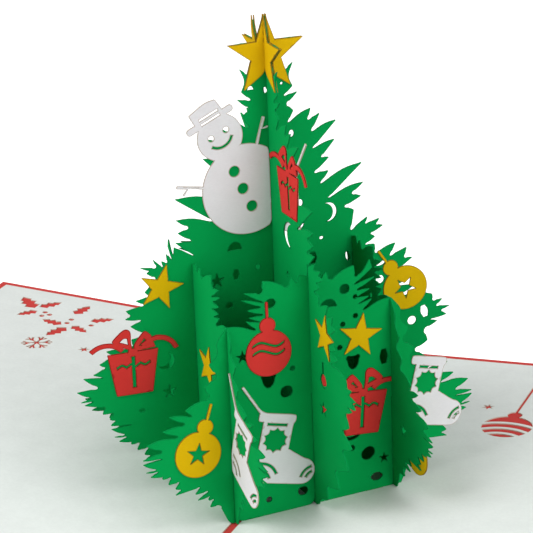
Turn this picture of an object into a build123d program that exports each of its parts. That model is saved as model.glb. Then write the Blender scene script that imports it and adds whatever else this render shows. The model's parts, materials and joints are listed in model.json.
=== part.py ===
"""Pop-up card, opened: a folded red cover, two white liners and a slotted tree of green card.

X runs across the card, Y along the fold to the back, Z up. The origin is under the middle of the fold.
The tree is a lattice of six upright sheets at 45 degrees to the fold. The three A sheets have their slots
at the bottom and the three B sheets have theirs at the top. Flat card ornaments are glued on the sheets,
and some of them come again on the far side, half a turn round. Everything is drawn with the tree upright
and then turned about the fold, so that the card lies on its left panel. All lengths are in millimetres.
"""
import os
from math import atan2, cos, degrees, hypot, pi, radians, sin

from build123d import *

# Card
CARD_LENGTH = 200.0
PANEL_WIDTH = 150.0
LEFT_RISE = 3.7
RIGHT_RISE = 1.7
COVER_T = 0.4
LINER_T = 0.3
BORDER = 2.7
FOLD_STRIP = 1.2

# Tree lattice
CELL = 25.0
TIER = 25.0
SHEET_T = 0.4
SLOT_PLAY = 0.2
CENTRE_SLOT = 66.0
SIDE_SLOT = 35.0
CORNER_SLOT = 29.0
SLOT_OPEN = 3.4
TAB_WIDTH = 5.0
TAB_INSET = 4.0

# Ornaments
TRIM_T = 0.3
TOP_STAR_R = 12.0
TOP_STAR_Z = 128.5
STAR_R = 7.1
STAR_WAIST = 0.4
BAUBLE_R = 6.9
CAP_R = 2.4
STRING = 0.8
STRING_LENGTH = 7.0
SNOWMAN_R = 13.4
HEAD_R = 6.9
BUTTON_R = 1.6
ARM_LENGTH = 8.0
TWIG = 0.9
GIFT_TOP = 15.0
GIFT_BASE = 10.6
GIFT_H = 13.2
RIBBON = 1.5
STOCKING_LEG = 9.4
STOCKING_FOOT = 19.2
STOCKING_DROP = 13.2
HEEL_R = 3.9
TOE_R = 4.0
CUFF_H = 2.7
AXIS_GAP = 0.1
FAR_SIDE = ("red_bauble_left", "star_right", "gift_right", "star_side")

# Cut-outs in the liners, measured from the back corner of the free edge
SPRIG_LEAVES = [
    (15.6, 11.6, 139, 11.2),
    (23.6, 10.3, 54, 8.6),
    (19.6, 20.3, 232, 7.6),
    (36.0, 10.0, 80, 8.9),
    (46.5, 15.3, 38, 8.2),
    (31.3, 24.0, 170, 8.1),
    (42.8, 25.8, -23, 7.6),
    (36.5, 30.8, 251, 9.5),
]
SPRIG_BERRIES = [(25.1, 17.3), (27.5, 18.6), (25.5, 20.6), (36.5, 19.3), (36.5, 22.7), (45.1, 21.1)]
BERRY_R = 0.9
SNOWFLAKE_AT = (35.0, 42.3)
SNOWFLAKE_R = 5.2
LINER_STAR_AT = (52.3, 40.8)
LINER_STAR_R = 1.9
LINER_BAUBLE_AT = (56.0, 49.8)
LINER_BAUBLE_R = 7.9
LINER_BAUBLE_STAR = (46.0, 36.3)
STRING_END = 6.0

# Outlines of the tree sheets, drawn on GRID units to a cell and to a tier. Each row of the branch lists
# is a needle tip and the notch below it, read from the top down, on the side of positive u.
GRID = 25.0
CROWN_TOP = 70.6
WING_TOP = 59.8
UPPER_BRANCHES = [
    (8.1, 125.2), (6.3, 121.4),
    (7.3, 118.4), (5.0, 115.8),
    (9.2, 116.5), (5.7, 113.3),
    (7.3, 111.1), (5.9, 107.9),
    (13.0, 111.2), (12.0, 107.8),
    (15.8, 109.3), (13.0, 104.3),
    (21.1, 106.7), (13.2, 99.2),
    (20.4, 101.0), (15.8, 96.2),
    (18.3, 95.8), (13.5, 91.8),
    (18.1, 91.8), (15.3, 88.3),
]
LEFT_BRANCHES = [
    (29.8, 90.7), (18.0, 82.2),
    (29.5, 84.3), (25.6, 81.4),
    (29.0, 80.3), (25.0, 77.4),
    (29.9, 77.6), (24.5, 73.0),
]
RIGHT_BRANCHES = [
    (29.3, 92.9), (17.6, 83.5),
    (29.2, 86.6), (25.3, 83.6),
    (28.3, 82.4), (22.8, 80.0),
    (25.8, 78.6), (24.7, 72.4),
]
LOWER_FRINGE = [
    (52.0, 25.1), (46.0, 24.6),
    (52.0, 24.0), (48.1, 21.7),
    (51.3, 21.5), (47.6, 21.0),
    (50.0, 19.9), (46.4, 19.2),
    (46.5, 18.4), (44.0, 18.5),
    (44.8, 16.4), (41.5, 16.5),
    (42.8, 14.6), (41.1, 14.0),
    (42.9, 12.7), (35.4, 13.5),
    (36.9, 11.5), (32.9, 11.7),
    (36.3, 9.5), (32.6, 10.0),
    (33.1, 8.8), (31.4, 8.8),
    (32.6, 6.6), (29.7, 6.5),
]
LONG_WING = [
    (30.2, 76.3), (30.7, 74.4),
    (31.9, 76.1), (31.2, 72.9),
    (32.8, 75.0), (32.6, 72.2),
    (34.3, 73.0), (34.0, 71.2),
    (36.9, 74.1), (36.0, 71.3),
    (41.0, 72.2), (38.2, 70.7),
    (39.0, 70.0), (36.3, 68.0),
    (39.8, 64.5), (38.7, 63.1),
    (42.7, 62.4), (40.2, 60.7),
    (45.7, 59.8), (44.4, 58.1),
    (46.0, 57.2), (41.3, 56.2),
    (44.6, 54.8), (40.0, 51.6),
    (44.4, 50.8), (44.0, 47.8),
    (52.0, 48.3), (50.2, 46.6),
    (54.1, 44.4), (52.4, 43.2),
    (56.0, 41.4), (53.2, 40.3),
    (59.0, 40.7), (54.8, 37.2),
    (61.0, 36.6), (57.0, 34.3),
    (60.0, 33.3), (56.4, 33.3),
    (59.0, 32.3), (53.2, 31.0),
    (54.0, 28.9), (51.0, 28.9),
    (52.1, 27.0), (50.6, 26.4),
] + LOWER_FRINGE
SHORT_WING = [
    (30.1, 75.7), (29.4, 73.6),
    (33.9, 74.6), (32.9, 72.9),
    (35.1, 72.3), (31.0, 70.3),
    (32.4, 69.2), (29.2, 67.2),
    (32.2, 66.9), (32.4, 64.0),
    (38.9, 66.3), (37.0, 62.4),
    (42.4, 64.3), (41.6, 61.2),
    (44.1, 60.9), (38.6, 57.2),
    (43.2, 54.6), (38.2, 52.6),
    (44.8, 52.2), (39.8, 49.4),
    (50.1, 48.5), (50.4, 46.2),
    (53.3, 46.5), (51.4, 44.4),
    (55.7, 44.0), (53.0, 42.7),
    (54.7, 41.2), (49.6, 40.2),
    (51.8, 39.5), (47.6, 37.2),
    (48.8, 33.5), (44.6, 31.0),
    (49.6, 27.2), (43.8, 24.6),
    (46.8, 19.4), (38.8, 16.2),
    (41.2, 11.6), (33.6, 9.4),
    (34.2, 5.4), (28.8, 3.6),
]
CROWN_TEETH = [
    (2.8, 71.4), (3.6, 69.2),
    (5.2, 71.0), (6.4, 68.4),
    (13.8, 71.4), (14.2, 67.9),
]
STRAIGHT_FINGER = [(19.6, 68.8), (13.8, 65.1)]
CURLED_FINGER = [(16.4, 68.7), (18.7, 72.4), (19.5, 69.7), (13.8, 65.6)]
CROWN_FINGERS = [
    (20.5, 66.9), (14.6, 63.8),
    (18.8, 63.5), (14.0, 61.5),
    (18.4, 61.3), (15.0, 59.5),
    (19.3, 60.4), (16.4, 57.4),
]
PLAIN_CROWN = [(2.8, 71.4), (12.6, 71.0), (12.6, 60.4), (16.4, 57.4)]
OUTER_WING = [
    (28.6, 55.6), (27.8, 52.4),
    (30.8, 49.6), (29.4, 46.0),
    (32.0, 43.2), (31.2, 40.0),
    (38.4, 37.4), (36.6, 35.4),
    (43.4, 36.4), (38.8, 33.4),
    (45.5, 32.4), (41.0, 30.1),
    (50.6, 29.2), (46.0, 26.7),
] + LOWER_FRINGE

FLOOR = COVER_T + LINER_T
ALONG_A = Vector(cos(radians(45)), sin(radians(45)), 0)
ALONG_B = Vector(-sin(radians(45)), cos(radians(45)), 0)
LEFT_PLANE = Plane(
    origin=(0, 0, 0),
    x_dir=(cos(radians(LEFT_RISE)), 0, -sin(radians(LEFT_RISE))),
    z_dir=(sin(radians(LEFT_RISE)), 0, cos(radians(LEFT_RISE))),
)
RIGHT_PLANE = Plane(
    origin=(0, 0, 0),
    x_dir=(cos(radians(RIGHT_RISE)), 0, sin(radians(RIGHT_RISE))),
    z_dir=(-sin(radians(RIGHT_RISE)), 0, cos(radians(RIGHT_RISE))),
)
HALF_TURN = Rot(0, 0, 180)
AT_REST = Rot(0, -LEFT_RISE, 0)


def flat(*points):
    """A flat shape with straight edges through the given points, facing up whichever way they run."""
    turn = sum(x0 * y1 - x1 * y0 for (x0, y0), (x1, y1) in zip(points, points[1:] + points[:1]))
    return Polygon(*(points if turn > 0 else reversed(points)), align=None)


def bar(start, end, width):
    """A straight strip of card from one point to another."""
    length = hypot(end[0] - start[0], end[1] - start[1])
    angle = degrees(atan2(end[1] - start[1], end[0] - start[0]))
    middle = Pos((start[0] + end[0]) / 2, (start[1] + end[1]) / 2)
    return middle * Rot(0, 0, angle) * Rectangle(length, width)


def arc_band(centre, radius, first, last, width, steps=5):
    """A curved strip around a centre, between two angles in degrees, in short straight steps."""
    angles = [radians(first + (last - first) * k / steps) for k in range(steps + 1)]
    inner, outer = radius - width / 2, radius + width / 2
    rim = [(outer, a) for a in angles] + [(inner, a) for a in reversed(angles)]
    return flat(*[(centre[0] + reach * cos(a), centre[1] + reach * sin(a)) for reach, a in rim])


def star_points(radius, turn=0.0, tips=5, waist=STAR_WAIST):
    """Corners of a star with its first tip up, tips and inner corners in turn."""
    corners = []
    for step in range(2 * tips):
        reach = radius if step % 2 == 0 else radius * waist
        angle = radians(90 + turn) - pi * step / tips
        corners.append((reach * cos(angle), reach * sin(angle)))
    return corners


def star(radius, turn=0.0, tips=5, waist=STAR_WAIST):
    """A flat star."""
    return flat(*star_points(radius, turn, tips, waist))


def crescent(radius, depth):
    """A moon shape: a disc with a second disc taken off one side."""
    return disc(radius, 14) - Pos(-depth, 0) * disc(radius, 14)


def oval(half_width, half_height, turn=2 * pi, steps=6):
    """An oval, or the first part of one, with its edge in short straight steps."""
    angles = [turn * k / steps for k in range(steps if turn > pi else steps + 1)]
    return flat(*[(half_width * cos(a), half_height * sin(a)) for a in angles])


def disc(radius, steps=6):
    """A round disc or hole."""
    return oval(radius, radius, 2 * pi, steps)


def dome(width, height):
    """Half an oval standing on its flat side."""
    return oval(width / 2, height, pi, 5)


def on_grid(points, side=1):
    """Outline points in millimetres, on the chosen side of the sheet."""
    return [(side * u * CELL / GRID, z * TIER / GRID) for u, z in points]


def at(u, z):
    """A place on a sheet, given on the outline grid."""
    return Pos(u * CELL / GRID, z * TIER / GRID)


def a_plane(row):
    """Upright plane of an A sheet; its local x runs along A and it faces the front right."""
    return Plane(origin=ALONG_B * (row * CELL) + Vector(0, 0, FLOOR), x_dir=ALONG_A, z_dir=-ALONG_B)


def b_plane(row):
    """Upright plane of a B sheet; its local x runs along B and it faces the back right."""
    return Plane(origin=ALONG_A * (row * CELL) + Vector(0, 0, FLOOR), x_dir=ALONG_B, z_dir=ALONG_A)


def middle_outline(left_wing, right_wing):
    """Outline of a tall sheet: star top, branches down both sides and a wing on each side."""
    corners = star_points(TOP_STAR_R - 2 * TRIM_T)
    tip = [(u, z + TOP_STAR_Z * TIER / GRID) for u, z in corners]
    neck, foot = [(5.6, 123.4)], [(26.0, -2.0)]
    right = neck + UPPER_BRANCHES + RIGHT_BRANCHES + right_wing + foot
    left = neck + UPPER_BRANCHES + LEFT_BRANCHES + left_wing + foot
    return flat(*tip[:4], *on_grid(right), *reversed(on_grid(left, -1)), *tip[7:])


def outer_outline(right_crown=CROWN_TEETH + CURLED_FINGER + CROWN_FINGERS, left_reach=1.0):
    """Outline of a low sheet: a crown of fingers in the middle and a wing on each side."""
    wing = [(25.2, WING_TOP)] + OUTER_WING + [(26.0, -2.0)]
    left_wing = [(GRID + left_reach * (u - GRID), z) for u, z in wing]
    left = CROWN_TEETH + STRAIGHT_FINGER + CROWN_FINGERS + left_wing
    return flat((0, CROWN_TOP * TIER / GRID), *on_grid(right_crown + wing), *reversed(on_grid(left, -1)))


def slot(u, low, high):
    """A slot for a crossing sheet."""
    return Pos(u, (low + high) / 2) * Rectangle(SHEET_T + SLOT_PLAY, high - low)


def slots(middle, from_top):
    """The three slots of a sheet; each pair of crossing sheets shares one slot end."""
    corner = CORNER_SLOT, WING_TOP * TIER / GRID
    side = SIDE_SLOT, CROWN_TOP * TIER / GRID
    centre = CENTRE_SLOT, TOP_STAR_Z * TIER / GRID + TOP_STAR_R
    row = (side, centre, side) if middle else (corner, side, corner)
    cuts = []
    for u, (end, top) in zip((-CELL, 0.0, CELL), row):
        cuts.append(slot(u, end, top + SLOT_OPEN) if from_top else slot(u, -SLOT_OPEN, end))
    return cuts


A_MIDDLE_HOLES = [
    at(-0.7, 118.2) * disc(0.9),
    at(-5.0, 118.8) * dome(1.8, 1.1),
    at(4.4, 119.5) * disc(0.4),
    at(6.8, 104.5) * oval(0.8, 1.2),
    at(8.7, 83.4) * oval(0.9, 1.3),
    at(8.8, 76.9) * oval(0.9, 1.3),
    at(17.3, 79.2) * crescent(2.9, 1.2),
    at(4.2, 74.5) * oval(2.0, 4.8),
    at(15.1, 71.7) * oval(0.7, 0.5),
    at(23.4, 64.6) * Rot(0, 0, 15) * oval(0.7, 1.6),
    at(12.2, 66.0) * oval(1.2, 2.1),
    at(33.8, 60.5) * Rot(0, 0, 10) * oval(1.6, 0.7),
    at(33.3, 58.7) * oval(0.7, 0.4),
    at(33.6, 55.5) * disc(1.3),
    at(43.6, 40.8) * disc(1.4),
    at(47.6, 43.2) * Rot(0, 0, 15) * oval(1.2, 2.2),
    at(-11.8, 72.4) * dome(4.4, 2.4),
    at(-5.0, 66.2) * disc(0.8),
    at(-17.8, 64.0) * star(2.3),
    at(-11.8, 65.0) * oval(1.0, 1.7),
    at(-14.5, 56.0) * disc(1.0),
    at(-34.6, 42.6) * Rot(0, 0, -40) * crescent(2.6, 1.5),
    at(-34.0, 33.0) * star(2.0),
    at(-42.5, 28.5) * oval(0.9, 0.5),
]
B_MIDDLE_HOLES = [
    at(1.4, 117.7) * disc(1.4),
    at(-12.0, 78.4) * crescent(3.9, 2.4),
    at(-10.0, 66.2) * disc(0.8),
    at(-33.7, 42.0) * (disc(2.1) + Pos(0, 3.2) * Rectangle(0.9, 5.0)),
    at(-33.0, 33.2) * star(2.2),
]
A_FRONT_HOLES = [
    at(-11.7, 64.5) * oval(1.7, 1.4),
    at(10.8, 64.8) * oval(1.7, 1.5),
    at(5.7, 60.2) * dome(5.0, 2.4),
    at(14.0, 61.9) * disc(0.7),
    at(-20.8, 50.2) * star(1.9),
    at(10.0, 54.2) * disc(0.8),
    at(14.0, 56.1) * disc(0.8),
    at(8.9, 47.3) * disc(0.8),
    at(-5.9, 44.0) * disc(0.8),
    at(-13.3, 43.4) * Rot(0, 0, 180) * dome(4.2, 4.0),
    at(13.0, 44.0) * Rot(0, 0, 180) * dome(4.0, 4.2),
    at(22.6, 42.0) * oval(1.3, 2.6),
    at(-8.0, 37.3) * oval(2.1, 1.8),
    at(11.6, 22.0) * Rot(0, 0, -100) * crescent(4.2, 1.1),
    at(12.0, 15.3) * disc(0.9),
    at(17.0, 12.7) * Rot(0, 0, 35) * oval(2.5, 1.9),
    at(22.0, 10.3) * star(1.6),
    at(19.5, 4.8) * oval(1.9, 1.3),
    at(-4.0, 5.4) * oval(1.7, 1.4),
    at(-14.6, 5.0) * disc(0.9),
]
B_LEFT_HOLES = [
    at(-32.6, 21.2) * star(1.9),
    at(-33.2, 15.7) * disc(1.6),
    at(32.6, 21.2) * star(1.9),
    at(12.0, 56.0) * disc(0.8),
    at(16.4, 48.0) * disc(0.9),
    at(12.5, 30.0) * oval(1.6, 2.4),
    at(-13.0, 24.0) * disc(1.0),
    at(-16.0, 10.0) * oval(1.8, 1.3),
]


def ground(panel, height):
    """The space under the top of a panel at the given height, on both sides of the fold."""
    block = Box(4 * PANEL_WIDTH, 2 * CARD_LENGTH, 60.0, align=(Align.CENTER, Align.CENTER, Align.MAX))
    return panel.offset(height) * block


UNDER_LINERS = [ground(LEFT_PLANE, FLOOR), ground(RIGHT_PLANE, FLOOR)]
UNDER_COVER = [ground(LEFT_PLANE, COVER_T), ground(RIGHT_PLANE, COVER_T)]


def tab(plane, side, play=0.0):
    """Tongue at the foot of an outer sheet, next to its corner slot, that goes through a liner."""
    block = Box(TAB_WIDTH + play, 8.0, SHEET_T + play)
    return plane * Pos(side * (CELL - TAB_INSET - TAB_WIDTH / 2), 0, 0) * block


def tree_sheet(plane, outline, cuts, tab_side=0):
    """A green sheet that stands on the liners, with its tongue down to the cover."""
    shape = outline
    for cut in cuts:
        shape = shape - cut
    body = extrude(plane * shape, SHEET_T / 2, both=True)
    sheet = body - UNDER_LINERS
    if tab_side:
        tongue = tab(plane, tab_side) - UNDER_COVER
        sheet = sheet + (tongue & UNDER_LINERS[1 if tab_side * plane.origin.X > 0 else 0])
    return sheet


def glued(plane, face, shape):
    """A flat ornament glued on one face of a sheet: +1 is the plane's own side, -1 the other side."""
    return extrude(plane.offset(face * SHEET_T / 2) * shape, TRIM_T, dir=plane.z_dir * face)


def mirrored(shape):
    """The shape as it looks from behind."""
    return mirror(shape, about=Plane.YZ)


def between(first, last, shape):
    """The part of an ornament that lies between two crossing sheets, counted from the tree's axis."""
    low = first * CELL + SHEET_T / 2 + AXIS_GAP
    high = last * CELL - SHEET_T / 2 - AXIS_GAP
    return shape & Pos((low + high) / 2, TOP_STAR_Z) * Rectangle(high - low, 4 * TOP_STAR_Z)


def bauble(cuts):
    """A ball with a round cap and a hanging string, drawn upright around the ball's middle."""
    neck = BAUBLE_R + 0.55 * CAP_R
    string = bar((0, neck), (0, neck + STRING_LENGTH), STRING)
    shape = disc(BAUBLE_R, 18) + Pos(0, neck) * disc(CAP_R, 12) + string
    for cut in cuts:
        shape = shape - cut
    return shape


def wave(length, height, width, steps=6):
    """A strip that follows one period of a sine wave."""
    xs = [length * (k / steps - 0.5) for k in range(steps + 1)]
    line = [(x, height * sin(2 * pi * x / length)) for x in xs]
    return flat(*[(x, y + width / 2) for x, y in line], *[(x, y - width / 2) for x, y in reversed(line)])


def star_bauble():
    """A ball with a star cut out of it."""
    return bauble([star(BAUBLE_R / 2, 8.0)])


def wave_bauble():
    """A ball with two wavy slits."""
    slit = wave(1.4 * BAUBLE_R, -0.12 * BAUBLE_R, 0.1 * BAUBLE_R)
    return bauble([Pos(0, 0.38 * BAUBLE_R) * slit, Pos(0, 0.03 * BAUBLE_R) * slit])


def shares(unit, *points):
    """A flat shape whose corners are given as shares of one length."""
    return flat(*[(unit * x, unit * y) for x, y in points])


def gift():
    """A parcel with a bow, ribbon ends and a cut-out ribbon, drawn around the parcel's middle."""
    top, low = GIFT_H / 2, -GIFT_H / 2
    box = flat((-GIFT_TOP / 2, top), (GIFT_TOP / 2, top), (GIFT_BASE / 2, low), (-GIFT_BASE / 2, low))
    left_loop = shares(
        GIFT_TOP, (0, 0), (-0.39, 0.21), (-0.38, 0.29), (-0.2, 0.45), (-0.1, 0.47), (-0.03, 0.4), (-0.03, 0.2)
    )
    left_eye = shares(GIFT_TOP, (-0.09, 0.16), (-0.25, 0.23), (-0.17, 0.29), (-0.11, 0.27))
    right_loop = shares(GIFT_TOP, (0, 0), (0.05, 0.17), (0.2, 0.35), (0.28, 0.37), (0.37, 0.28), (0.45, 0.03))
    right_eye = shares(GIFT_TOP, (0.13, 0.11), (0.23, 0.23), (0.28, 0.17), (0.25, 0.09))
    bow = Pos(0, top) * (left_loop - left_eye + (right_loop - right_eye))
    left_end = arc_band((-0.53 * GIFT_TOP, top - 0.23 * GIFT_TOP), 0.43 * GIFT_TOP, 40, 132, RIBBON)
    right_end = arc_band((0.48 * GIFT_TOP, top - 0.2 * GIFT_TOP), 0.41 * GIFT_TOP, 20, 135, RIBBON)
    knot = Pos(0, top) * Rectangle(2 * RIBBON, 1.3 * RIBBON)
    teeth = 7
    crest = [(0.64 * GIFT_TOP * (k / teeth - 0.5), 0.06 * GIFT_TOP * (k % 2)) for k in range(teeth + 1)]
    zigzag = Pos(0, 0.18 * GIFT_H) * flat(*crest, *[(x, y - RIBBON / 2) for x, y in reversed(crest)])
    band = bar((0, top - RIBBON), (0, low + 1.4 * RIBBON), 0.7 * RIBBON)
    return box + bow + left_end + right_end + knot - band - zigzag


def stocking(hung=True):
    """A stocking with a cuff, drawn around the toothed round cut-out in its leg; a hung one has a string."""
    half = STOCKING_LEG / 2
    cuff_z = 0.71 * STOCKING_LEG
    sole = -STOCKING_DROP
    toe = STOCKING_FOOT - half - TOE_R, sole + TOE_R
    heel = HEEL_R - half, sole + HEEL_R
    leg = flat(
        (-half, cuff_z), (half, cuff_z), (half, -0.26 * STOCKING_LEG), (toe[0], toe[1] + TOE_R),
        (toe[0], sole), (heel[0], sole), (heel[0] - HEEL_R, heel[1]),
    )
    cuff = Pos(-0.06 * STOCKING_LEG, cuff_z) * Rectangle(1.23 * STOCKING_LEG, CUFF_H)
    shape = leg + chamfer(cuff.vertices(), 0.22 * CUFF_H)
    if hung:
        shape = shape + bar((-half, cuff_z), (-1.4 * STOCKING_LEG, 1.62 * STOCKING_LEG), STRING)
    shape = shape + Pos(*toe) * disc(TOE_R, 16) + Pos(*heel) * disc(HEEL_R, 16)
    heel_mark = heel[0] - 0.5 * HEEL_R, sole
    toe_mark = toe[0] + 1.1 * TOE_R, sole + 0.35 * TOE_R
    cuts = [
        star(0.4 * STOCKING_LEG, 0.0, 10, 0.82),
        bar((-0.36 * STOCKING_LEG, 0.5 * STOCKING_LEG), (0.3 * STOCKING_LEG, 0.5 * STOCKING_LEG), STRING),
        arc_band(heel_mark, 1.54 * HEEL_R, 30, 95, STRING, 3),
        arc_band(heel_mark, 0.92 * HEEL_R, 25, 95, STRING, 3),
        arc_band(toe_mark, 1.15 * TOE_R, 112, 170, STRING, 3),
        arc_band(toe_mark, 0.75 * TOE_R, 116, 165, STRING, 3),
    ]
    for cut in cuts:
        shape = shape - cut
    return shape


def snowman():
    """A snowman with hat, face, buttons and twig arms, drawn upright around the middle of its body."""
    head = SNOWMAN_R + 0.65 * HEAD_R
    brim = head + 0.87 * HEAD_R
    line = 0.11 * HEAD_R
    hat_brim = Pos(-0.06 * HEAD_R, brim) * Rectangle(2.2 * HEAD_R, 0.29 * HEAD_R)
    hat = shares(HEAD_R, (-0.72, 0), (0.64, 0), (0.52, 0.67), (0.06, 0.78), (-0.78, 0.64))
    shape = disc(SNOWMAN_R, 36) + Pos(0, head) * disc(HEAD_R, 24)
    shape = shape + chamfer(hat_brim.vertices(), 0.09 * HEAD_R) + Pos(0, brim) * hat
    for angle, side in ((146, 1), (49.5, -1)):
        arm = bar((SNOWMAN_R - TWIG, 0), (SNOWMAN_R + ARM_LENGTH, 0), TWIG)
        finger_end = SNOWMAN_R + 0.7 * ARM_LENGTH, side * 0.29 * ARM_LENGTH
        finger = bar((SNOWMAN_R + 0.5 * ARM_LENGTH, 0), finger_end, 0.7 * TWIG)
        shape = shape + Rot(0, 0, angle) * (arm + finger)
    cuts = [Pos(side * 0.36 * HEAD_R, head + 0.14 * HEAD_R) * disc(0.13 * HEAD_R) for side in (-1, 1)]
    cuts.append(arc_band((0, head + 0.17 * HEAD_R), 0.61 * HEAD_R, 218, 322, line))
    cuts.extend(Pos(-0.5 * BUTTON_R, BUTTON_R * step) * disc(BUTTON_R, 10) for step in (4.1, 0.4, -3.4))
    for lift in (0.0, 2 * line):
        cuts.append(bar((-0.46 * HEAD_R, brim + lift), (0.43 * HEAD_R, brim + lift), 0.8 * line))
    for cut in cuts:
        shape = shape - cut
    return shape


def folded_top_star():
    """A yellow star folded along its middle and glued into the front corner of the two tall sheets."""
    corners = star_points(TOP_STAR_R)
    wing = [(0.0, -TOP_STAR_R * STAR_WAIST)] + list(reversed(corners[:5])) + [(0.0, TOP_STAR_R)]
    half = flat(*wing) - Pos(0, 0) * Rectangle(SHEET_T, 3 * TOP_STAR_R)
    centre = Pos(0, TOP_STAR_Z * TIER / GRID)
    on_a = glued(a_plane(0), 1, centre * mirrored(half))
    on_b = glued(b_plane(0), -1, centre * mirrored(half))
    return on_a + on_b


def holly_leaf(length):
    """A leaf along x with three points on each side, drawn around its middle."""
    side = [(-0.28, 0.25), (-0.12, 0.13), (0.02, 0.26), (0.16, 0.12), (0.26, 0.18)]
    upper = [(-0.5, 0.0)] + side + [(0.5, 0.0)]
    lower = [(x, -y) for x, y in reversed(side)]
    return flat(*[(x * length, y * length) for x, y in upper + lower])


def snowflake(radius):
    """Six arms, each with one pair of side twigs."""
    width = 0.13 * radius
    arm = bar((0, 0), (0, radius), width)
    for side in (-1, 1):
        arm = arm + bar((0, 0.5 * radius), (side * 0.28 * radius, 0.86 * radius), width)
    flake = arm
    for step in range(1, 6):
        flake = flake + Rot(0, 0, 60 * step) * arm
    return flake


def striped_bauble(string_length):
    """A ball with white stripes left standing, its cap and its string."""
    radius = LINER_BAUBLE_R
    ball = disc(radius, 32)
    for reach in (2.2, 1.7, 1.22):
        ball = ball - arc_band((0, -1.84 * radius), reach * radius, 20, 160, 0.18 * radius, 14)
    cap = Pos(0, 1.15 * radius) * disc(0.29 * radius, 12)
    return ball + cap + bar((0, radius), (0, string_length), STRING)


def cover():
    """The folded sheet, as its bent profile drawn along the fold."""
    left, right = radians(LEFT_RISE), radians(RIGHT_RISE)
    left_end = Vector(-PANEL_WIDTH * cos(left), PANEL_WIDTH * sin(left))
    right_end = Vector(PANEL_WIDTH * cos(right), PANEL_WIDTH * sin(right))
    up_left = Vector(sin(left), cos(left)) * COVER_T
    up_right = Vector(-sin(right), cos(right)) * COVER_T
    lean = (right - left) / 2
    up_fold = Vector(-sin(lean), cos(lean)) * (COVER_T / cos((left + right) / 2))
    corners = [left_end, (0, 0), right_end, right_end + up_right, up_fold, left_end + up_left]
    profile = flat(*[tuple(Vector(corner))[:2] for corner in corners])
    return extrude(Plane.XZ * profile, CARD_LENGTH / 2, both=True)


def liner(panel, side, cutouts, tabs):
    """A white sheet on one inside panel, with its cut-outs and the slits for the tree's tongues."""
    width = PANEL_WIDTH - BORDER - FOLD_STRIP
    shape = Pos(side * (FOLD_STRIP + width / 2), 0) * Rectangle(width, CARD_LENGTH - 2 * BORDER)
    for cutout in cutouts:
        shape = shape - cutout
    sheet = extrude(panel.offset(COVER_T) * shape, LINER_T)
    return sheet - tabs


def left_cutouts():
    """Holly, berries, a snowflake and a small star in the back corner of the left liner."""
    def place(across, down):
        return Pos(-(PANEL_WIDTH - BORDER) + across, CARD_LENGTH / 2 - BORDER - down)

    cuts = [place(x, y) * Rot(0, 0, turn) * holly_leaf(length) for x, y, turn, length in SPRIG_LEAVES]
    cuts.extend(place(x, y) * disc(BERRY_R) for x, y in SPRIG_BERRIES)
    cuts.append(place(*SNOWFLAKE_AT) * snowflake(SNOWFLAKE_R))
    cuts.append(place(*LINER_STAR_AT) * star(LINER_STAR_R, 0, 6))
    return cuts


def right_cutouts():
    """A hanging striped bauble and a small star in the right liner."""
    def place(across, down):
        return Pos(across, CARD_LENGTH / 2 - BORDER - down)

    ball = striped_bauble(LINER_BAUBLE_AT[1] - STRING_END)
    return [place(*LINER_BAUBLE_AT) * ball, place(*LINER_BAUBLE_STAR) * star(LINER_STAR_R, 0, 6)]


A_FRONT, A_MIDDLE, A_BACK = a_plane(-1), a_plane(0), a_plane(1)
B_LEFT, B_MIDDLE, B_RIGHT = b_plane(-1), b_plane(0), b_plane(1)

a_back_holes = [mirrored(hole) for hole in A_FRONT_HOLES[::3]]
b_right_holes = [mirrored(hole) for hole in B_LEFT_HOLES] + [at(3.9, 63.0) * oval(1.0, 1.9)]

nodes = {
    "cover": cover(),
    "liner_left": liner(
        LEFT_PLANE, -1, left_cutouts(), [tab(A_BACK, -1, SLOT_PLAY), tab(B_LEFT, 1, SLOT_PLAY)]
    ),
    "liner_right": liner(
        RIGHT_PLANE, 1, right_cutouts(), [tab(A_FRONT, 1, SLOT_PLAY), tab(B_RIGHT, -1, SLOT_PLAY)]
    ),
    "tree_sheet_a_front": tree_sheet(A_FRONT, outer_outline(), A_FRONT_HOLES + slots(False, False), 1),
    "tree_sheet_a_middle": tree_sheet(
        A_MIDDLE, middle_outline(LONG_WING, SHORT_WING), A_MIDDLE_HOLES + slots(True, False)
    ),
    "tree_sheet_a_back": tree_sheet(
        A_BACK, outer_outline(PLAIN_CROWN), a_back_holes + slots(False, False), -1
    ),
    "tree_sheet_b_left": tree_sheet(
        B_LEFT, outer_outline(left_reach=0.85), B_LEFT_HOLES + slots(False, True), 1
    ),
    "tree_sheet_b_middle": tree_sheet(
        B_MIDDLE, middle_outline(SHORT_WING, LONG_WING), B_MIDDLE_HOLES + slots(True, True)
    ),
    "tree_sheet_b_right": tree_sheet(
        B_RIGHT, outer_outline(), b_right_holes + slots(False, True), -1
    ),
}

top_star = folded_top_star()
for step, corner in enumerate(("front", "right", "back", "left")):
    nodes[f"top_star_{corner}"] = Rot(0, 0, 90 * step) * top_star

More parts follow.
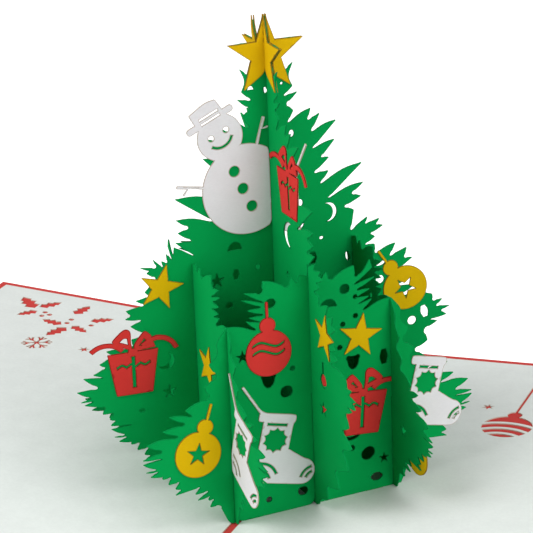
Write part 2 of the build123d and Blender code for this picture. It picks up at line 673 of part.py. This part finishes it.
ornaments = {
    "snowman": glued(A_MIDDLE, 1, between(-2, 0, at(-7.6, 90.2) * Rot(0, 0, 24) * snowman())),
    "star_left_wing": glued(A_MIDDLE, 1, at(-35.0, 65.2) * star(STAR_R, -17)),
    "gift_left_wing": glued(A_MIDDLE, 1, at(-44.3, 40.6) * gift()),
    "bauble_right_wing": glued(A_MIDDLE, 1, at(41.4, 51.8) * Rot(0, 0, 33) * star_bauble()),
    "bauble_left_wing": glued(A_FRONT, 1, at(-35.5, 23.7) * Rot(0, 0, -18) * star_bauble()),
    "red_bauble_left": glued(A_FRONT, 1, at(-13.0, 50.0) * wave_bauble()),
    "stocking_left": glued(A_FRONT, 1, between(-1, 0, at(-12.2, 23.3) * Rot(0, 0, -14) * stocking())),
    "star_right": glued(A_FRONT, 1, at(15.2, 49.8) * star(STAR_R, -10)),
    "gift_right": glued(A_FRONT, 1, between(0, 1, at(15.4, 25.8) * Rot(0, 0, -4) * mirrored(gift()))),
    "stocking_right_wing": glued(
        A_FRONT, 1, between(1, 3, at(36.0, 31.3) * Rot(0, 0, -14) * stocking(hung=False))
    ),
    "gift_high": glued(B_MIDDLE, -1, between(-2, 0, at(-13.4, 91.0) * mirrored(gift()))),
    "star_front_wing": glued(B_MIDDLE, -1, at(-36.2, 56.2) * star(STAR_R, 10)),
    "stocking_high": glued(B_MIDDLE, 1, between(-2, 0, at(-13.8, 92.4) * Rot(0, 0, -5) * stocking())),
    "red_bauble_front_wing": glued(B_MIDDLE, 1, at(-35.0, 38.0) * wave_bauble()),
    "star_side": glued(B_LEFT, -1, at(-9.0, 42.0) * star(STAR_R, 12)),
    "stocking_side_wing": glued(
        B_LEFT, -1, between(-3, -1, at(-32.6, 27.5) * Rot(0, 0, 22) * mirrored(stocking()))
    ),
    "bauble_side_wing": glued(B_RIGHT, 1, at(-39.5, 17.3) * Rot(0, 0, -12) * star_bauble()),
}
nodes.update(ornaments)
for name in FAR_SIDE:
    nodes[f"{name}_far"] = HALF_TURN * ornaments[name]

os.makedirs("parts", exist_ok=True)
for name, shape in nodes.items():
    export_step(AT_REST * shape, f"parts/{name}.step")
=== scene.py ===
"""Looks of the opened pop-up card: cut sheets with browned edges, paper materials, light and camera.

Every flat CAD node of the tree, its ornaments and the liners is cut again as a piece of card. The node's
outline gets rounded corners, a fine mesh and a narrow rim, and the tree's pieces share one slight bend.
Lengths are in metres, in the frame of the CAD model.
"""

import json
from math import cos, radians, sin

import bpy
import numpy as np
from mathutils import Matrix, Vector
from mathutils.geometry import delaunay_2d_cdt


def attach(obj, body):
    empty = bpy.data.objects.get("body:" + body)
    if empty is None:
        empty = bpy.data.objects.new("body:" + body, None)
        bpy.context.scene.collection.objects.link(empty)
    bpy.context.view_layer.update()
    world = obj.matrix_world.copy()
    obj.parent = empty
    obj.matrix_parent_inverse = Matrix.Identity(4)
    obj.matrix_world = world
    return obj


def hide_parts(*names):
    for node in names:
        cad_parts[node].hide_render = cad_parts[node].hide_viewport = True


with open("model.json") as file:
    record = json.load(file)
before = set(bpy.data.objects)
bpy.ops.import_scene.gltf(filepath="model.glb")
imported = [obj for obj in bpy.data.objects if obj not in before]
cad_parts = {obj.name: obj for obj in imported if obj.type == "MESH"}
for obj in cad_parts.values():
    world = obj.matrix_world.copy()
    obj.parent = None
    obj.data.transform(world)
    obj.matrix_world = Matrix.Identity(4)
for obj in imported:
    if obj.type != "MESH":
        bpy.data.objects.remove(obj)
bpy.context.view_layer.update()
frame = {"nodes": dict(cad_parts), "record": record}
nodes = frame["nodes"]
slot_of = {part["node"]: part["material_slot"] for part in frame["record"]["subparts"]}
MM = 0.001

# Reading of the CAD nodes: steps per metre in which points are merged, and what counts as one flat face
MERGE_STEPS = 1e6
NO_LENGTH = 1e-12
NO_AREA = 1e-12
AREA_MARGIN = 1e-9
FACE_SHARE = 0.25
FACE_COSINE = 0.95
LYING_COSINE = 0.9

# Round corners: how far they are cut along their edges
NEEDLE_NOTCH = 1.9 * MM
TRIM_NOTCH = 0.25 * MM
NOTCH_WIDTH = 0.9
NEEDLE_TIP = 0.11
TIP_ROUND = 0.3 * MM
SHARP_SHARE = 0.45
BEND_SINE = 0.9
BEND_ROUND = 2.0 * MM
BEND_SHARE = 0.48
ROUND_SWELL = 0.27
ROUND_STEP = 4.0 * MM
CORNER_STEPS = 7

# Edges of the needles
EDGE_STEPS = 3
NEEDLE_BOW = 0.04
NEEDLE_SWELL = 0.07
SHORTEST_NEEDLE = 2.0 * MM
SWELL_FROM = 6.0 * MM
LONGEST_NEEDLE = 16.0 * MM

# Mesh of the card: its points are rounded to digits of a millimetre
RIM = 0.3 * MM
TREE_GRID = 2.5 * MM
LINER_GRID = 8.0 * MM
SEED_DIGITS = 3
SEED_MERGE = 1e-4
WHOLE_HULL = 0
CRISP_ANGLE = radians(35)

# Bend of the tree: each wave has a start, a rate per metre of height and, for a curl, per cell and by side
WING_CURL = 1.6 * MM
SHEET_BOW = 0.35 * MM
BOW_WAVE_A = (0.9, 40)
BOW_WAVE_B = (2.1, 36)
CURL_WAVE_A = (0.8, 55, 1.3, 1.1)
CURL_WAVE_B = (2.0, 50, 1.1, 0.9)
CROWN_LEAN = 3.3 * MM
LEAN_FROM = 0.86
LEAN_COSINE = 0.5
LEANING = ("tree_sheet_b_middle", "top_star_back", "top_star_left")
FOOT_HELD = 20.0 * MM

# Card stock: noise scales are per metre
CLOUD = {"Scale": 140.0, "Detail": 3.0, "Roughness": 0.55}
FIBRE_STRETCH = {"Scale": (900.0, 900.0, 3200.0), "Rotation": (0.5, 0.3, 0.7)}
FIBRE = {"Scale": 1.0, "Detail": 4.0, "Roughness": 0.6}
TOOTH = {"Scale": 5200.0, "Detail": 2.0}
TOOTH_SHARE = 0.5
NOISE_MIDDLE = 0.5
TONE_GAIN = 2.0
FIBRE_ROUGHNESS = {"From Min": 0.3, "From Max": 0.7, "To Min": 0.74, "To Max": 0.9}
SURFACE = {"Specular IOR Level": 0.05}
TOOTH_BUMP = {"Strength": 0.25, "Distance": 0.06 * MM}
FACE_MOTTLE = 0.06
EDGE_MOTTLE = 0.2
FACE_COLORS = {
    "red_card": (0.50, 0.050, 0.045),
    "white_card": (0.63, 0.66, 0.64),
    "green_card": (0.000, 0.285, 0.062),
    "yellow_card": (0.62, 0.39, 0.002),
    "red_trim_card": (0.58, 0.035, 0.030),
    "white_trim_card": (0.69, 0.68, 0.70),
}
EDGE_COLORS = {
    "red_card": (0.30, 0.030, 0.025),
    "white_card": (0.52, 0.45, 0.38),
    "green_card": (0.000, 0.21, 0.048),
    "yellow_card": (0.24, 0.13, 0.010),
    "red_trim_card": (0.20, 0.012, 0.010),
    "white_trim_card": (0.40, 0.34, 0.28),
}

# Floor and light: a lamp has a place, a size and a power in watts
WHITE = (1, 1, 1, 1)
FLOOR_HALF = 4
FLOOR_COLOR = (0.5, 0.5, 0.5, 1)
FLOOR_LIFT = 0.8
SKY = 0.31
LAMP_AIM = (0, 0, 0.05)
LAMPS = {
    "key": ((-0.55, -0.75, 1.0), 0.7, 11.0),
    "fill": ((0.92, -0.45, 0.5), 0.9, 7.2),
    "side": ((-0.9, -0.55, 0.35), 0.7, 3.6),
    "top": ((0.4, 0.05, 1.1), 0.8, 5.2),
}

# Camera: its lens and sensor are in millimetres
CAMERA_AZIMUTH = radians(21.77)
CAMERA_ELEVATION = radians(21.27)
CAMERA_ROLL = radians(-1.285)
CAMERA_DISTANCE = 0.6094
CAMERA_TARGET = Vector((-0.0065, -0.0002, 0.0656))
CAMERA_LENS = 142.1
CAMERA_SENSOR = 36.0
CAMERA_CLIP = (0.01, 50.0)


def node_triangles(node):
    """A CAD node's triangles as whole arrays: merged points, corner numbers, normals and areas.

    The cross product of two sides, over its own length, is the normal. Half that length is the area.
    """
    mesh = node.data
    loose = np.empty(len(mesh.vertices) * 3)
    mesh.vertices.foreach_get("co", loose)
    loose = loose.reshape(-1, 3)
    corners = np.empty(len(mesh.loops), int)
    mesh.loops.foreach_get("vertex_index", corners)
    steps = np.round(loose * MERGE_STEPS).astype(int)
    _, first, merged = np.unique(steps, axis=0, return_index=True, return_inverse=True)
    points = loose[first]
    triangles = merged.ravel()[corners].reshape(-1, 3)
    sides = points[triangles]
    across = np.cross(sides[:, 1] - sides[:, 0], sides[:, 2] - sides[:, 0])
    double = np.linalg.norm(across, axis=1)
    return points, triangles, across / np.maximum(double, NO_AREA)[:, None], double / 2


def card_faces(node):
    """The flat faces that a piece of card is made of, one per direction.

    Directions are the normals that hold over a quarter of the node's area, each counted with its
    opposite. Of the two sides of the card the larger one is taken. A face is its normal, points and
    triangles, and the places of its card's two sides on the normal: near and far.
    """
    points, triangles, normals, areas = node_triangles(node)
    least = FACE_SHARE * areas.sum()
    faces = []
    left = areas > NO_AREA
    while areas[left].sum() > least:
        normal = normals[left][np.argmax(areas[left])]
        along = normals @ normal
        group = left & (np.abs(along) > FACE_COSINE)
        left &= ~group
        if areas[group].sum() < least:
            continue
        front, back = group & (along > 0), group & (along < 0)
        if areas[back].sum() > areas[front].sum() + AREA_MARGIN:
            normal, front, back = -normal, back, front
        near = np.median(points[triangles[back]] @ normal)
        far = np.median(points[triangles[front]] @ normal)
        faces.append((normal, points, triangles[front], near, far))
    return faces


def outline_of(triangles):
    """The outline of a triangulated face: the first and the last point of each edge along it.

    A directed edge is on the outline when no triangle runs along it the other way.
    """
    edges = np.concatenate([triangles[:, [0, 1]], triangles[:, [1, 2]], triangles[:, [2, 0]]])
    size = triangles.max() + 1
    codes = edges[:, 0] * size + edges[:, 1]
    alone = ~np.isin(codes, edges[:, 1] * size + edges[:, 0])
    return edges[alone, 0], edges[alone, 1]


def turns(back, ahead):
    """The cross product of the ways into and out of each corner: above 0 at a tip, below 0 in a notch."""
    return back[:, 1] * ahead[:, 0] - back[:, 0] * ahead[:, 1]


def bends(back, ahead):
    """Which corners are steps of a round line: those that turn by less than about 64 degrees.

    The turn's sine is the cross product of the ways back and ahead over their lengths, and at such a
    corner the two ways point apart.
    """
    lengths = np.linalg.norm(back, axis=1) * np.linalg.norm(ahead, axis=1)
    return (np.abs(turns(back, ahead)) < BEND_SINE * lengths) & (np.einsum("ij,ij->i", back, ahead) < 0)


def swollen(corner, before, after):
    """Corners of small round lines, moved out so that the curve inside them runs along the round line.

    Each moves away from the middle of its two neighbours by a share of its distance from it, which is
    about the same share for any number of steps around a circle.
    """
    steps = np.maximum(np.linalg.norm(before - corner, axis=1), np.linalg.norm(after - corner, axis=1))
    small = bends(before - corner, after - corner) & (steps < ROUND_STEP)
    return corner + ROUND_SWELL * small[:, None] * (corner - (before + after) / 2)


def inward(way):
    """The unit ways to the inside of the card: the ways along its outline, turned left by a right angle."""
    left = np.stack([-way[..., 1], way[..., 0]], axis=-1)
    return left / np.maximum(np.linalg.norm(left, axis=-1, keepdims=True), NO_LENGTH)


def rounded(corner, before, after, notch, tip):
    """Corners cut round: a cubic curve from a point on one edge to a point on the next.

    A sharp corner is cut far in a notch and little at a tip, and by less than half its shorter edge. A step
    of a round line is cut by just under half of each edge, up to a limit. At a tip or a step both handles
    lie two thirds of the way to the corner, which makes a parabola. In a sharp notch they lie side by side,
    a third of the cut's depth past the corner, so that the notch has a round floor and stays as deep.
    The points come in order around the outline, with the way to the inside of the card at each, and with
    the kind of the corner: 1 for a sharp tip, -1 for a sharp notch and 0 for a step.
    """
    back, ahead = before - corner, after - corner
    back_length, ahead_length = np.linalg.norm(back, axis=1), np.linalg.norm(ahead, axis=1)
    shorter = np.minimum(back_length, ahead_length)
    turn = turns(back, ahead)
    bend = bends(back, ahead)
    sharp_cut = np.where(turn < 0, notch, np.maximum(TIP_ROUND, tip * shorter))
    sharp_cut = np.minimum(sharp_cut, SHARP_SHARE * shorter)
    back_cut = np.where(bend, np.minimum(BEND_ROUND, BEND_SHARE * back_length), sharp_cut)
    ahead_cut = np.where(bend, np.minimum(BEND_ROUND, BEND_SHARE * ahead_length), sharp_cut)
    start = corner + back * (back_cut / back_length)[:, None]
    end = corner + ahead * (ahead_cut / ahead_length)[:, None]
    half = (end - start) / 2
    floor_point = corner + (corner - (start + end) / 2) / 3
    notched = (~bend & (turn < 0))[:, None]
    first = np.where(notched, floor_point - NOTCH_WIDTH * half, (start + 2 * corner) / 3)
    second = np.where(notched, floor_point + NOTCH_WIDTH * half, (end + 2 * corner) / 3)
    start, first, second, end = start[:, None], first[:, None], second[:, None], end[:, None]
    t = np.linspace(0, 1, CORNER_STEPS)[None, :, None]
    u = 1 - t
    curve = start * u ** 3 + 3 * first * u * u * t + 3 * second * u * t * t + end * t ** 3
    way = (first - start) * u * u + 2 * (second - first) * u * t + (end - second) * t * t
    return curve, inward(way), np.where(bend, 0, np.sign(turn))


def smooth(x):
    """Runs from 0 to 1 as x does, with level ends: 3 x squared minus 2 x cubed."""
    x = np.clip(x, 0, 1)
    return x * x * (3 - 2 * x)


def edge_points(start, end, start_kind, end_kind, bow, swell, spacing):
    """Points along the edges between rounded corners: number, edge, step, place and way inside.

    They lie at most the spacing apart. An edge from a sharp tip to a sharp notch, or back, moves up or
    down by a half sine wave whose height is a share of its length. Short needles sag, so that they curve
    up like thorns, and the upper edges of long needles swell, so that they droop like leaves. Other edges
    stay straight.
    """
    along = end - start
    length = np.linalg.norm(along, axis=1)
    inside = inward(along)
    number = np.maximum(np.ceil(length / spacing).astype(int), EDGE_STEPS)
    edge = np.repeat(np.arange(len(start)), number)
    step = np.arange(len(edge)) - (np.cumsum(number) - number)[edge]
    t = ((step + 1) / (number[edge] + 1))[:, None]
    needle = (start_kind * end_kind < 0) & (length > SHORTEST_NEEDLE) & (length < LONGEST_NEEDLE)
    long_needle = smooth((length - SHORTEST_NEEDLE) / (SWELL_FROM - SHORTEST_NEEDLE))
    lift = needle * length * (swell * long_needle * (inside[:, 1] < 0) - bow * (1 - long_needle))
    points = start[edge] + along[edge] * t
    points[:, 1:] += lift[edge][:, None] * np.sin(np.pi * t)
    return number, edge, step, points, inside[edge]


def within(spots, starts, ends):
    """Whether spots lie inside the outline: a ray along x crosses its edges an odd number of times."""
    x, y = spots[:, :1], spots[:, 1:]
    rise = ends[:, 1] - starts[:, 1]
    spans = (starts[:, 1] > y) != (ends[:, 1] > y)
    share = (y - starts[:, 1]) / np.where(rise == 0, 1, rise)
    meets = starts[:, 0] + share * (ends[:, 0] - starts[:, 0])
    return (spans & (meets > x)).sum(1) % 2 == 1


def cut_card(normal, points, triangles, near, far, grid, notch, tip, bow, swell):
    """One flat piece of card as arrays: points in its plane, triangles, rim values and the plane's frame.

    The outline with round corners bounds a Delaunay mesh of three sets of points: the outline itself, the
    same points moved inside by the rim's width, and a square grid. What lies outside the outline drops
    out. The rim value is 1 at points of the outline and where it crosses itself, and 0 at the others.
    """
    up = np.array([0.0, 0.0, 1.0]) if abs(normal[2]) < LYING_COSINE else np.array([0.0, 1.0, 0.0])
    up = up - normal * (up @ normal)
    up /= np.linalg.norm(up)
    right = np.cross(up, normal)
    plane = np.stack([points @ right, points @ up], axis=1)
    ring, after = outline_of(triangles)
    place = np.full(len(points), -1)
    place[ring] = np.arange(len(ring))
    following = place[after]
    preceding = np.argsort(following)
    corner = swollen(plane[ring], plane[ring[preceding]], plane[after])
    curve, curve_ways, kind = rounded(corner, corner[preceding], corner[following], notch, tip)
    number, edge, step, sides, side_ways = edge_points(
        curve[:, -1], curve[following, 0], kind, kind[following], bow, swell, grid
    )
    block = CORNER_STEPS + number
    first = np.cumsum(block) - block
    at_corner = first[:, None] + np.arange(CORNER_STEPS)
    at_side = first[edge] + CORNER_STEPS + step
    border, inside = np.empty((block.sum(), 2)), np.empty((block.sum(), 2))
    border[at_corner], inside[at_corner] = curve, curve_ways
    border[at_side], inside[at_side] = sides, side_ways
    to = np.arange(len(border)) + 1
    to[first + block - 1] = first[following]
    edges = np.stack([np.arange(len(border)), to], axis=1)
    low, high = border.min(0), border.max(0)
    xs = np.arange(low[0] + grid / 2, high[0], grid)
    ys = np.arange(low[1] + grid / 2, high[1], grid)
    lattice = np.stack(np.meshgrid(xs, ys), axis=-1).reshape(-1, 2)
    seeds = np.round(np.concatenate([border, border + RIM * inside, lattice]) / MM, SEED_DIGITS)
    found, _, faces, origins, _, _ = delaunay_2d_cdt(
        seeds.tolist(), edges.tolist(), [], WHOLE_HULL, SEED_MERGE
    )
    spots = np.array(found) * MM
    rim = np.array([min(origin, default=0) for origin in origins]) < len(border)
    faces = np.array(faces, int)
    faces = faces[within(spots[faces].mean(1), border, border[to])]
    used, faces = np.unique(faces, return_inverse=True)
    return spots[used], faces.reshape(-1, 3), rim[used], (right, up, normal, near, far)


def slab(spots, faces, rim, plane):
    """Card of two sides and a cut edge: the flat mesh at near and far, and a wall along its outline.

    With the points and triangles come a mark, 1 for the triangles of the wall and 0 for the rest, and the
    points' rim values.
    """
    right, up, normal, near, far = plane
    flat = spots[:, :1] * right + spots[:, 1:] * up
    points = np.concatenate([flat + far * normal, flat + near * normal])
    count = len(spots)
    start, end = outline_of(faces)
    wall = np.concatenate([
        np.stack([end, start, start + count], axis=1),
        np.stack([end, start + count, end + count], axis=1),
    ])
    triangles = np.concatenate([faces, faces[:, ::-1] + count, wall])
    mark = np.repeat([0, 1], [2 * len(faces), len(wall)])
    return points, triangles, mark, np.concatenate([rim, rim]).astype(float)


def backward_normal(name):
    """The normal of a tree sheet, turned to the back of the card."""
    normal = card_faces(nodes[name])[0][0]
    return normal * np.sign(normal[1])


# Frame of the tree: the ways along the two sets of sheets, the way up, the sheets' spacing and the height
along_a = backward_normal("tree_sheet_b_middle")
along_b = backward_normal("tree_sheet_a_middle")
upright = np.cross(along_a, along_b)
front_middle = node_triangles(nodes["tree_sheet_a_front"])[0].mean(0)
cell = abs(backward_normal("tree_sheet_a_front") @ front_middle)
tree_height = (node_triangles(nodes["tree_sheet_a_middle"])[0] @ upright).max()


def sheet_bend(along, across, height, bow_wave, curl_wave):
    """How far sheets of one set bend out of their planes, from the place along, across and up.

    Between two crossings a sheet bows by half a sine wave. Past the last crossing a wing curls with the
    square of its length. Both change with height as a sine wave does, and the curl by sheet and side too.
    """
    cells = 1 / cell
    start, rate = bow_wave
    bow = SHEET_BOW * np.sin(np.pi * along * cells) * np.sin(start + rate * height)
    start, rate, by_cell, by_side = curl_wave
    wing = np.maximum(np.abs(along) - cell, 0) / cell
    turn = np.sin(start + rate * height + by_cell * across * cells + by_side * np.sign(along))
    return bow * (np.abs(along) < cell) + WING_CURL * wing ** 2 * turn


def bent(points, leans):
    """The tree's slight bend, which is nothing at the foot and on the lines where sheets cross.

    The sheets of each set bend across it. The back half of the top, which its slot sets free, leans away
    with height.
    """
    a, b, h = points @ along_a, points @ along_b, points @ upright
    held = smooth(h / FOOT_HELD)
    to_b = sheet_bend(a, b, h, BOW_WAVE_A, CURL_WAVE_A)
    to_a = sheet_bend(b, a, h, BOW_WAVE_B, CURL_WAVE_B)
    rise = (h / tree_height - LEAN_FROM) / (1 - LEAN_FROM)
    to_a = to_a - CROWN_LEAN * smooth(rise) * (leans & (b > 0))
    return points + (held * to_a)[:, None] * along_a + (held * to_b)[:, None] * along_b


def put_mesh(name, points, triangles, materials, which, rim):
    """A mesh object of triangles with its materials, its rim values as an attribute and crisp card edges."""
    mesh = bpy.data.meshes.new(name)
    mesh.from_pydata(points.tolist(), [], triangles.tolist())
    for material in materials:
        mesh.materials.append(material)
    mesh.polygons.foreach_set("material_index", which)
    mesh.polygons.foreach_set("use_smooth", np.ones(len(triangles), bool))
    mesh.attributes.new("rim", "FLOAT", "POINT").data.foreach_set("value", rim)
    mesh.validate()
    mesh.set_sharp_from_angle(angle=CRISP_ANGLE)
    piece = bpy.data.objects.new(name, mesh)
    bpy.context.scene.collection.objects.link(piece)
    return piece


def cut_node(name, grid, notch, tip=0.0, bow=0.0, swell=0.0):
    """The node's flat faces, each cut again as card, joined into one piece that stands for the node."""
    cards = []
    count = 0
    for face in card_faces(nodes[name]):
        points, triangles, mark, rim = slab(*cut_card(*face, grid, notch, tip, bow, swell))
        if not name.startswith("liner"):
            points = bent(points, name in LEANING and abs(face[0] @ along_a) > LEAN_COSINE)
        cards.append((points, triangles + count, mark, rim))
        count += len(points)
    points, triangles, which, rim = [np.concatenate(arrays) for arrays in zip(*cards)]
    slot = slot_of[name]
    piece = put_mesh(name + "_card", points, triangles, [card[slot], cut_edge[slot]], which, rim)
    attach(piece, "root")
    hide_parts(name)


def shader_node(tree, kind, values):
    """A shader node with values set on its named inputs."""
    node = tree.nodes.new(kind)
    for key, value in values.items():
        node.inputs[key].default_value = value
    return node


def math_node(tree, operation, *terms):
    """The output of a Math node whose terms are numbers or other nodes' outputs."""
    node = tree.nodes.new("ShaderNodeMath")
    node.operation = operation
    for socket, term in zip(node.inputs, terms):
        if isinstance(term, float):
            socket.default_value = term
        else:
            tree.links.new(term, socket)
    return node.outputs[0]


def paper_grain():
    """Shader group of card stock: cloudy tone, short fibres and a fine tooth.

    Clouds and fibres are noises of the object's own coordinates, the fibres drawn out along one way. Less
    their middle, times their amounts and a gain, they lighten and darken the colour. The fibres also vary
    the roughness, and with a share of the tooth they give the height.
    """
    group = bpy.data.node_groups.new("paper_grain", "ShaderNodeTree")
    face = group.interface
    face.new_socket("Color", in_out="INPUT", socket_type="NodeSocketColor")
    face.new_socket("Cloud", in_out="INPUT", socket_type="NodeSocketFloat")
    face.new_socket("Fibre", in_out="INPUT", socket_type="NodeSocketFloat")
    face.new_socket("Color", in_out="OUTPUT", socket_type="NodeSocketColor")
    face.new_socket("Roughness", in_out="OUTPUT", socket_type="NodeSocketFloat")
    face.new_socket("Height", in_out="OUTPUT", socket_type="NodeSocketFloat")
    link = group.links.new
    inside = group.nodes.new("NodeGroupInput")
    outside = group.nodes.new("NodeGroupOutput")
    place = group.nodes.new("ShaderNodeTexCoord")
    cloud = shader_node(group, "ShaderNodeTexNoise", CLOUD)
    stretch = shader_node(group, "ShaderNodeMapping", FIBRE_STRETCH)
    fibre = shader_node(group, "ShaderNodeTexNoise", FIBRE)
    tooth = shader_node(group, "ShaderNodeTexNoise", TOOTH)
    link(place.outputs["Object"], cloud.inputs["Vector"])
    link(place.outputs["Object"], stretch.inputs["Vector"])
    link(place.outputs["Object"], tooth.inputs["Vector"])
    link(stretch.outputs["Vector"], fibre.inputs["Vector"])
    cloud_swing = math_node(group, "SUBTRACT", cloud.outputs["Fac"], NOISE_MIDDLE)
    fibre_swing = math_node(group, "SUBTRACT", fibre.outputs["Fac"], NOISE_MIDDLE)
    cloud_tone = math_node(group, "MULTIPLY", cloud_swing, inside.outputs["Cloud"])
    fibre_tone = math_node(group, "MULTIPLY", fibre_swing, inside.outputs["Fibre"])
    total = math_node(group, "ADD", cloud_tone, fibre_tone)
    tint = group.nodes.new("ShaderNodeVectorMath")
    tint.operation = "SCALE"
    link(inside.outputs["Color"], tint.inputs[0])
    link(math_node(group, "MULTIPLY_ADD", total, TONE_GAIN, 1.0), tint.inputs["Scale"])
    link(tint.outputs[0], outside.inputs["Color"])
    rough = shader_node(group, "ShaderNodeMapRange", FIBRE_ROUGHNESS)
    link(fibre.outputs["Fac"], rough.inputs["Value"])
    link(rough.outputs["Result"], outside.inputs["Roughness"])
    height = math_node(group, "MULTIPLY_ADD", tooth.outputs["Fac"], TOOTH_SHARE, fibre.outputs["Fac"])
    link(height, outside.inputs["Height"])
    return group


grain = paper_grain()


def card_material(name, color, scorch, mottle):
    """Dyed card: grain over its colour, browned at the rim by the cutting beam."""
    material = bpy.data.materials.new(name)
    material.use_nodes = True
    tree = material.node_tree
    tree.nodes.clear()
    link = tree.links.new
    out = tree.nodes.new("ShaderNodeOutputMaterial")
    shader = shader_node(tree, "ShaderNodeBsdfPrincipled", SURFACE)
    paper = tree.nodes.new("ShaderNodeGroup")
    paper.node_tree = grain
    paper.inputs["Color"].default_value = (*color, 1)
    paper.inputs["Cloud"].default_value = mottle
    paper.inputs["Fibre"].default_value = mottle
    rim = tree.nodes.new("ShaderNodeAttribute")
    rim.attribute_name = "rim"
    browned = tree.nodes.new("ShaderNodeMix")
    browned.data_type = "RGBA"
    browned.inputs["B"].default_value = (*scorch, 1)
    bump = shader_node(tree, "ShaderNodeBump", TOOTH_BUMP)
    link(rim.outputs["Fac"], browned.inputs["Factor"])
    link(paper.outputs["Color"], browned.inputs["A"])
    link(browned.outputs["Result"], shader.inputs["Base Color"])
    link(paper.outputs["Roughness"], shader.inputs["Roughness"])
    link(paper.outputs["Height"], bump.inputs["Height"])
    link(bump.outputs["Normal"], shader.inputs["Normal"])
    link(shader.outputs["BSDF"], out.inputs["Surface"])
    return material


card = {
    slot: card_material(slot, color, EDGE_COLORS[slot], FACE_MOTTLE) for slot, color in FACE_COLORS.items()
}
cut_edge = {
    slot: card_material(slot + "_edge", color, color, EDGE_MOTTLE) for slot, color in EDGE_COLORS.items()
}

for name in sorted(nodes):
    if name == "cover":
        nodes[name].data.materials[0] = card["red_card"]
    elif name.startswith("liner"):
        cut_node(name, LINER_GRID, TRIM_NOTCH)
    elif name.startswith("tree_sheet"):
        cut_node(name, TREE_GRID, NEEDLE_NOTCH, NEEDLE_TIP, NEEDLE_BOW, NEEDLE_SWELL)
    else:
        cut_node(name, TREE_GRID, TRIM_NOTCH)


def seen_directly(tree):
    """1 for a ray that shows the background: from the camera, off a glossy surface or through glass."""
    path = tree.nodes.new("ShaderNodeLightPath").outputs
    mirrored = math_node(tree, "MAXIMUM", path["Is Camera Ray"], path["Is Glossy Ray"])
    return math_node(tree, "MAXIMUM", mirrored, path["Is Transmission Ray"])


def stepped(tree, mask, low, high):
    """A value that is low where the mask is 0 and high where it is 1."""
    step = shader_node(tree, "ShaderNodeMapRange", {"To Min": low, "To Max": high})
    tree.links.new(mask, step.inputs["Value"])
    return step.outputs["Result"]


def floor_material():
    """Pale matt floor that keeps shadows, with a glow added where it is seen directly."""
    material = bpy.data.materials.new("pale_floor")
    material.use_nodes = True
    tree = material.node_tree
    tree.nodes.clear()
    link = tree.links.new
    out = tree.nodes.new("ShaderNodeOutputMaterial")
    matt = shader_node(tree, "ShaderNodeBsdfDiffuse", {"Color": FLOOR_COLOR})
    glow = shader_node(tree, "ShaderNodeEmission", {"Color": WHITE})
    both = tree.nodes.new("ShaderNodeAddShader")
    link(stepped(tree, seen_directly(tree), 0.0, FLOOR_LIFT), glow.inputs["Strength"])
    link(matt.outputs[0], both.inputs[0])
    link(glow.outputs[0], both.inputs[1])
    link(both.outputs[0], out.inputs["Surface"])
    return material


def studio_world():
    """A white world that lights at a low level and is full white where it is seen directly."""
    world = bpy.data.worlds.new("studio")
    world.use_nodes = True
    tree = world.node_tree
    sky = tree.nodes["Background"]
    sky.inputs["Color"].default_value = WHITE
    tree.links.new(stepped(tree, seen_directly(tree), SKY, 1.0), sky.inputs["Strength"])
    return world


def soft_lamp(name, place, size, power):
    """A square lamp that faces the card."""
    data = bpy.data.lights.new(name, "AREA")
    data.size = size
    data.energy = power
    lamp = bpy.data.objects.new(name, data)
    lamp.location = place
    lamp.rotation_mode = "QUATERNION"
    lamp.rotation_quaternion = (Vector(LAMP_AIM) - Vector(place)).to_track_quat("-Z", "Y")
    bpy.context.scene.collection.objects.link(lamp)


def photo_camera():
    """A camera that looks at its target from an azimuth, elevation and distance, rolled about its view."""
    data = bpy.data.cameras.new("camera")
    data.lens = CAMERA_LENS
    data.sensor_width = CAMERA_SENSOR
    data.clip_start, data.clip_end = CAMERA_CLIP
    camera = bpy.data.objects.new("camera", data)
    bpy.context.scene.collection.objects.link(camera)
    ahead = Vector((
        -sin(CAMERA_AZIMUTH) * cos(CAMERA_ELEVATION),
        cos(CAMERA_AZIMUTH) * cos(CAMERA_ELEVATION),
        -sin(CAMERA_ELEVATION),
    ))
    level = Vector((cos(CAMERA_AZIMUTH), sin(CAMERA_AZIMUTH), 0))
    above = level.cross(ahead)
    side = level * cos(CAMERA_ROLL) - above * sin(CAMERA_ROLL)
    head = above * cos(CAMERA_ROLL) + level * sin(CAMERA_ROLL)
    turned = Matrix((side, head, -ahead)).transposed().to_4x4()
    camera.matrix_world = Matrix.Translation(CAMERA_TARGET - CAMERA_DISTANCE * ahead) @ turned
    return camera


floor_mesh = bpy.data.meshes.new("floor")
floor_corners = np.array([(-1, -1, 0), (1, -1, 0), (1, 1, 0), (-1, 1, 0)]) * FLOOR_HALF
floor_mesh.from_pydata(floor_corners.tolist(), [], [(0, 1, 2, 3)])
floor_mesh.materials.append(floor_material())
floor = bpy.data.objects.new("floor", floor_mesh)
bpy.context.scene.collection.objects.link(floor)
bpy.context.scene.world = studio_world()
for lamp_name, lamp_values in LAMPS.items():
    soft_lamp(lamp_name, *lamp_values)
bpy.context.scene.camera = photo_camera()
bpy.context.scene.view_settings.view_transform = "Standard"
